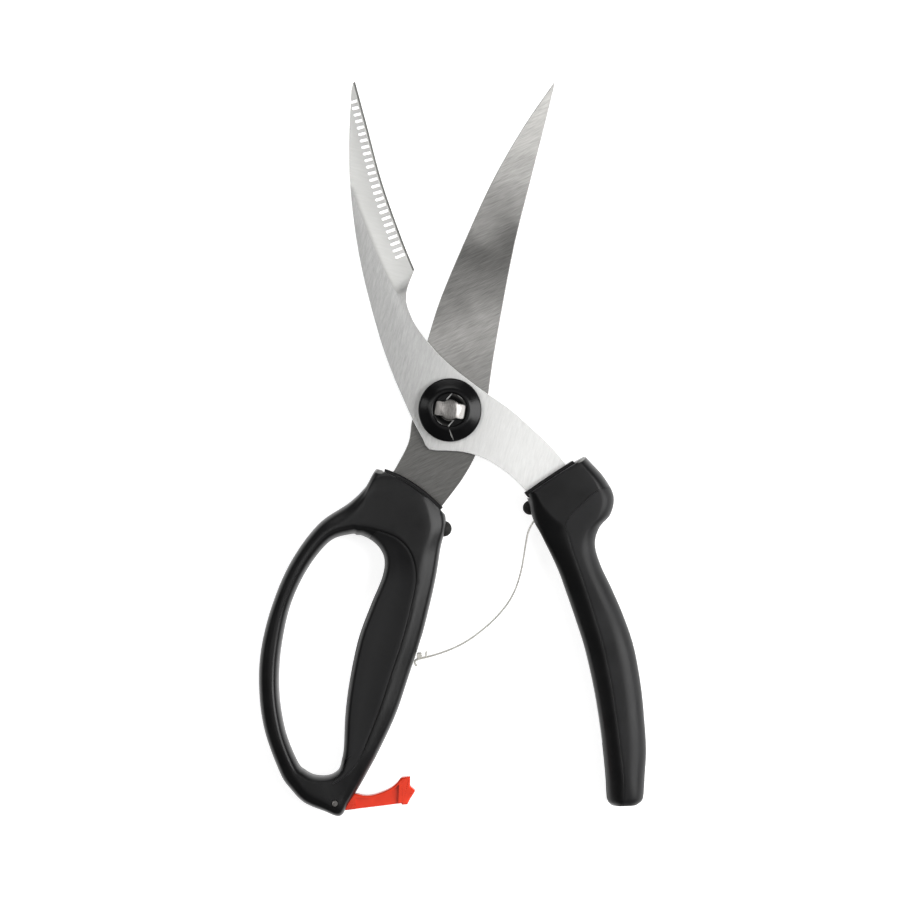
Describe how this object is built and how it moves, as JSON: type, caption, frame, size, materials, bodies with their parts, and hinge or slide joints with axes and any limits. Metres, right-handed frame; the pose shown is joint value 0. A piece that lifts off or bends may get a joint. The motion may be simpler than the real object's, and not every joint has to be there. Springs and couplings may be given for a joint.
{
  "type": "poultry shears",
  "caption": "Spring-loaded poultry shears with a serrated blade and a knife blade on an eared pivot, a loop handle, a hooked straight handle and a red latch.",
  "frame": {"origin": "on the pivot's axis, at the flat back face of the pivot stud's rear head", "axes": "+Z along the pivot's axis towards the front of the shears, +Y from the pivot towards the blade tips, +X towards the straight handle's side"},
  "size_m": [0.1356, 0.2574, 0.0185],
  "materials": {
    "ground_steel": "fine lengthwise brushing, brighter ground bevel",
    "knife_steel": "fine diagonal grinding marks, greyer than the serrated blade",
    "stud_steel": "satin",
    "spring_steel": "cold-rolled strip",
    "ring_plastic": "smooth black moulding",
    "hard_plastic": "fine-textured black moulding",
    "soft_plastic": "soft-touch charcoal skin",
    "bumper_rubber": "plain black rubber",
    "latch_plastic": "glossy red moulding"
  },
  "bodies": {
    "loop_half": {"knife_blade": "knife_steel", "pivot_stud": "stud_steel", "loop_core": "hard_plastic", "loop_handle": "hard_plastic", "loop_finger_liner": "soft_plastic", "loop_bumper": "bumper_rubber", "latch_pin": "stud_steel", "loop_tang_pin_1": "stud_steel", "loop_tang_pin_2": "stud_steel"},
    "straight_half": {"serrated_blade": "ground_steel", "pivot_ring": "ring_plastic", "straight_core": "hard_plastic", "straight_handle": "hard_plastic", "straight_grip_panel": "soft_plastic", "straight_bumper": "bumper_rubber", "spring_root": "spring_steel", "straight_tang_pin_1": "stud_steel", "straight_tang_pin_2": "stud_steel"},
    "spring_middle": {"spring_leaf": "spring_steel"},
    "spring_end": {"spring_tip": "spring_steel"},
    "latch": {"latch_lever": "latch_plastic"}
  },
  "joints": [
    {"name": "blade_pivot", "type": "hinge", "parent": "loop_half", "child": "straight_half", "pos_m": [0, 0, 0.00445], "axis": [0, 0, 1], "range_deg": [-35, 0], "stiffness_Nm_per_rad": 1.5, "springref_deg": 8.59},
    {"name": "spring_bend_root", "type": "hinge", "parent": "straight_half", "child": "spring_middle", "pos_m": [0.02764, -0.04209, 0.00445], "axis": [0, 0, 1], "range_deg": [0, 37]},
    {"name": "spring_bend_middle", "type": "hinge", "parent": "spring_middle", "child": "spring_end", "pos_m": [0.02071, -0.06696, 0.00445], "axis": [0, 0, 1], "range_deg": [0, 37]},
    {"name": "latch_swing", "type": "hinge", "parent": "loop_half", "child": "latch", "pos_m": [-0.0401, -0.1373, 0.00445], "axis": [0, 0, 1], "range_deg": [0, 14]}
  ],
  "couplings": [
    {"joint": "spring_bend_root", "follows": "blade_pivot", "ratio": -1.045},
    {"joint": "spring_bend_middle", "follows": "blade_pivot", "ratio": -1.04}
  ]
}
